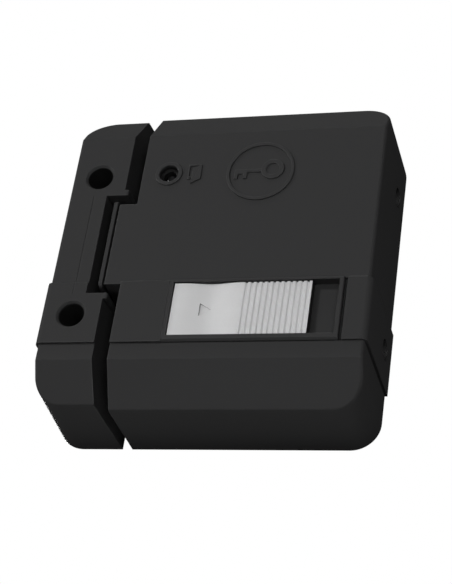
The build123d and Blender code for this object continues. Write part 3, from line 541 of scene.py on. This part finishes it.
def plateau(name, outline, rise, shoulder):
    """Raised sign: rings of the outline at growing height and inset, closed by one top face."""
    inset, height = quarter_round(rise, shoulder)
    rings = outline[None] + inward(outline)[None] * inset[:, None, None]
    count = len(outline)
    depth = np.broadcast_to(-(front + height)[:, None], (shoulder_steps, count))
    points = np.stack([rings[:, :, 0], depth, rings[:, :, 1]], axis=2).reshape(-1, 3)
    ring = np.arange(shoulder_steps - 1)[:, None] * count
    here = np.arange(count)[None]
    ahead = (here + 1) % count
    quads = [ring + here, ring + ahead, ring + ahead + count, ring + here + count]
    faces = np.stack(quads, axis=2).reshape(-1, 4).tolist()
    faces.append((np.arange(count) + (shoulder_steps - 1) * count).tolist())
    new_piece(name, points, faces, housing, "lock_body")


# %% [markdown]
# The door sign has a post at the left, a lintel above and a leaf that swings towards us, whose
# lower edge therefore slants. It is one thin line, so its outline goes along the outside and
# comes back along the inside.

# %% Door sign
sign_rise = 0.45
sign_shoulder = 0.15
door_shoulder = 0.12
door_outline = [
    (-29.0, 28.9), (-27.7, 28.9), (-27.7, 30.1), (-28.25, 30.1), (-28.25, 35.0), (-24.8, 35.2),
    (-27.4, 33.8), (-27.4, 26.8), (-23.5, 29.0), (-23.5, 35.8), (-29.0, 35.8),
]
plateau("door_sign", rounded_outline(door_outline, 0.25), sign_rise, door_shoulder)

# %% [markdown]
# The key is a stem with two bits and a round bow with a hole. The stem is a plateau like the
# door, and a hair lower than the bow, so that the two never share a face where they meet.

# %% Key stem
stem_rise = 0.95 * sign_rise
stem_outline = [
    (-10.25, 28.1), (-8.65, 28.1), (-8.65, 30.3), (-6.65, 30.3), (-6.65, 28.1), (-5.05, 28.1),
    (-5.05, 31.0), (1.7, 31.0), (1.7, 32.5), (-10.25, 32.5),
]
plateau("key_stem_sign", rounded_outline(stem_outline, 0.3), stem_rise, sign_shoulder)

# %% [markdown]
# The bow, the ring round the key and the ring round the button's well are turned from one small
# profile. The two rings lie on the housing's own rings and give them soft, slightly higher rims.

# %% Turned rings


def raised_band(inner_radius, outer_radius, rise):
    """Profile of a raised ring: up the outside, over a quarter-round shoulder, and down inside."""
    inset, height = quarter_round(rise, sign_shoulder)
    outer = np.stack([outer_radius - inset, front + height], axis=1)
    inner = np.stack([inner_radius + inset, front + height], axis=1)[::-1]
    return np.concatenate([outer, inner])


def turned_ring(name, centre, profile, steps=96):
    """Ring turned about an axis along Y: radius r and height h of the profile go round the
    centre, x = centre_x + r cos a and z = centre_z + r sin a, for all angles a at once."""
    a = np.linspace(0.0, 2 * math.pi, steps, endpoint=False)[:, None]
    r = profile[None, :, 0]
    x = centre[0] + r * np.cos(a)
    z = centre[1] + r * np.sin(a)
    y = np.broadcast_to(-profile[None, :, 1], x.shape)
    points = np.stack([x, y, z], axis=2).reshape(-1, 3)
    width = len(profile)
    turn = np.arange(steps)[:, None] * width
    next_turn = (np.arange(steps)[:, None] + 1) % steps * width
    step = np.arange(width - 1)[None]
    quads = [turn + step, next_turn + step, next_turn + step + 1, turn + step + 1]
    faces = np.stack(quads, axis=2).reshape(-1, 4).tolist()
    new_piece(name, points, faces, housing, "lock_body")


rim_rise = 0.5
turned_ring("key_bow_sign", (4.8, 32.2), raised_band(2.55, 4.6, sign_rise))
turned_ring("emblem_ring_cap", (0.0, 31.5), raised_band(12.05, 13.45, rim_rise))
turned_ring("button_ring_cap", (-36.7, 31.9), raised_band(3.82, 5.45, rim_rise))

# %% [markdown]
# ## Coil springs
# A compression spring is one wire in even turns, closer together at its two ends. It is made as a
# tube along a helix. Both fixed seats are at the spring's higher end, on X for the latch and on Y
# for the button.

# %% Faces of a tube
wire_sides = 10


def tube_faces(rings, axis):
    """Faces between the rings of a tube and over its two ends, all pointing outwards.

    A helix about Y is laid out on X and Z, which run the other way round it than Y and Z do
    about X, so its faces are turned over.
    """
    ring = np.arange(rings - 1)[:, None] * wire_sides
    side = np.arange(wire_sides)[None]
    ahead = (side + 1) % wire_sides
    quads = [ring + side, ring + side + wire_sides, ring + ahead + wire_sides, ring + ahead]
    faces = np.stack(quads, axis=2).reshape(-1, 4).tolist()
    first_ring = list(range(wire_sides))
    last_ring = [(rings - 1) * wire_sides + corner for corner in reversed(first_ring)]
    faces += [first_ring, last_ring]
    return [face[::-1] for face in faces] if axis == 1 else faces


# %% [markdown]
# The points of the tube follow from two formulas, one for the line that the wire follows and one
# for the way round the wire. The spring of the model is a plain stand-in, and this one replaces it.

# %% Coil springs
turn_steps = 36
end_closing = 0.5


def coil_spring(name, node, axis, radius, wire, turns, travel):
    """Round wire carried along a helix, in place of a spring of the model.

    With t from 0 to 1 the centre line is at angle 2 pi turns t on a circle of the radius, and
    t - end_closing sin(2 pi t) / (2 pi) of the way along the axis, so the end turns are closer.
    Round it, the wire is wire * (cos b outwards + sin b along the axis) for b round a full turn.
    """
    low, high = (np.array(corner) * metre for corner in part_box(node))
    middle = (low + high) / 2
    length = high[axis] - low[axis]
    t = np.linspace(0.0, 1.0, round(turn_steps * turns) + 1)[:, None]
    b = np.linspace(0.0, 2 * math.pi, wire_sides, endpoint=False)[None]
    angle = 2 * math.pi * turns * t
    share = t - end_closing * np.sin(2 * math.pi * t) / (2 * math.pi)
    out = radius + wire * np.cos(b)
    across = [other for other in range(3) if other != axis]
    points = np.empty((len(t), wire_sides, 3))
    points[:, :, axis] = low[axis] + wire + (length - 2 * wire) * share + wire * np.sin(b)
    points[:, :, across[0]] = middle[across[0]] + out * np.cos(angle)
    points[:, :, across[1]] = middle[across[1]] + out * np.sin(angle)
    points = points.reshape(-1, 3)
    faces = tube_faces(len(t), axis)
    piece = new_piece(name, points, faces, spring_wire, "lock_body")
    for face in piece.data.polygons:
        face.use_smooth = True
    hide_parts(node)
    anchor = middle * millimetre
    anchor[axis] = high[axis] * millimetre
    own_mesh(piece)
    print(name, "is", round(length, 1), "mm long and shortens by", travel, "mm")


coil_spring("latch_coil_spring", "latch_spring", 0, 3.1, 0.45, 6.5, 9.2)
coil_spring("button_coil_spring", "button_spring", 1, 2.9, 0.25, 3.5, 3.0)

# %% [markdown]
# ## The view
# The camera stands low and to the right, looking up at the lock with a long lens. Its place was
# worked out from the lock's own straight edges. The matrix's columns are the camera's right, its
# up and the opposite of the way it looks.

# %% Camera
right = Vector((0.9595, 0.2478, 0.1338))
up = Vector((0.0196, -0.5328, 0.8460))
away = Vector((-0.2810, 0.8092, 0.5160))
stand = Matrix.Translation((0.17705, -0.56858, -0.35923))
camera_data = bpy.data.cameras.new("view")
camera_data.lens = 109.74
camera_data.sensor_width = 36.0
camera_data.clip_start = 0.05
camera = bpy.data.objects.new("view", camera_data)
camera.matrix_world = stand @ Matrix((right, up, -away)).transposed().to_4x4()
bpy.context.scene.collection.objects.link(camera)
bpy.context.scene.camera = camera
print("lens:", camera_data.lens, "mm")

# %% [markdown]
# ## Floor
# The floor is pale, but a pale floor would throw its light up at black plastic. So it is pale to
# the camera alone, through Light Path's Is Camera Ray, and darker to every other ray.

# %% Floor
floor_height = -0.9
floor_half = 6
floor_mesh = bpy.data.meshes.new("floor")
floor_mesh.from_pydata(
    [
        (-floor_half, -floor_half, floor_height), (floor_half, -floor_half, floor_height),
        (floor_half, floor_half, floor_height), (-floor_half, floor_half, floor_height),
    ],
    [],
    [(0, 1, 2, 3)],
)
floor = bpy.data.objects.new("floor", floor_mesh)
bpy.context.scene.collection.objects.link(floor)
pale = Finish("pale_floor", Roughness=0.7, Emission_Strength=1.0)
seen = pale.node("ShaderNodeLightPath", {}, {}, "Is Camera Ray")
pale.feed(Base_Color=pale.blend(seen, tone((0.1, 0.1, 0.1)), tone((0.8, 0.8, 0.8))))
pale.feed(Emission_Color=pale.blend(seen, tone((0.0, 0.0, 0.0)), tone((0.75, 0.75, 0.75))))
floor.data.materials.append(pale.material)
print("floor at", floor_height, "m")

# %% [markdown]
# ## Background
# The background is white in the same way: full strength for the camera and nearly nothing for
# reflections, so that the black plastic is lit by the lamps alone.

# %% Background
unseen_strength = 0.02
seen_strength = 1.0
world = bpy.data.worlds.new("studio")
bpy.context.scene.world = world
world.use_nodes = True
tree = world.node_tree
light_path = tree.nodes.new("ShaderNodeLightPath")
strength = tree.nodes.new("ShaderNodeMix")
strength.data_type = "FLOAT"
strength.inputs[2].default_value = unseen_strength
strength.inputs[3].default_value = seen_strength
background = tree.nodes["Background"]
background.inputs["Color"].default_value = tone((1.0, 1.0, 1.0))
tree.links.new(light_path.outputs["Is Camera Ray"], strength.inputs[0])
tree.links.new(strength.outputs[0], background.inputs["Strength"])
print("background strength:", seen_strength)

# %% [markdown]
# ## Lamps
# Square lamps, one to a few metres away, give black plastic something soft to reflect. The key
# lamp is high at the left. A second one at the left grazes the front, so that raised signs and
# left edges show, and the others fill the right, the side, the underside, the top and the back.
# A wide, weak one below stands for light that a table would throw back. It faces forwards, so
# its light fades towards the back of the underside.

# %% Lamps


def lamp(name, place, target, size, power):
    """Rectangular area lamp at a place, facing a target, unseen by the camera."""
    data = bpy.data.lights.new(name, "AREA")
    data.shape = "RECTANGLE"
    data.size, data.size_y = size
    data.energy = power
    light = bpy.data.objects.new(name, data)
    aim = (Vector(target) - Vector(place)).to_track_quat("-Z", "Y")
    light.matrix_world = Matrix.Translation(place) @ aim.to_matrix().to_4x4()
    light.visible_camera = False
    bpy.context.scene.collection.objects.link(light)


centre = (0, 0, 0)
bounce_height = -0.2265
lamp("key_lamp", (-1.9, -2.6, 1.5), centre, (0.5, 0.5), 22.0)
lamp("left_softbox", (-2.3, -0.85, 0.25), centre, (0.3, 0.3), 13.0)
lamp("right_softbox", (0.5, -1.2, -0.1), centre, (0.5, 0.5), 4.9)
lamp("side_softbox", (1.0, -0.1, 0.0), centre, (0.3, 0.3), 1.4)
lamp("low_softbox", (-0.3, -1.0, -0.9), centre, (0.6, 0.6), 6.4)
lamp("top_softbox", (-0.2, -0.3, 1.2), centre, (0.4, 0.4), 1.75)
lamp("table_bounce", (0.0, 0.0, bounce_height), (0.0, -1.0, bounce_height), (0.6, 0.3), 0.13)
lamp("back_fill", (-0.7, 1.3, 0.6), centre, (0.5, 0.5), 26.0)

# %% [markdown]
# ## Settings

# %% Settings
bpy.context.scene.view_settings.view_transform = "Standard"
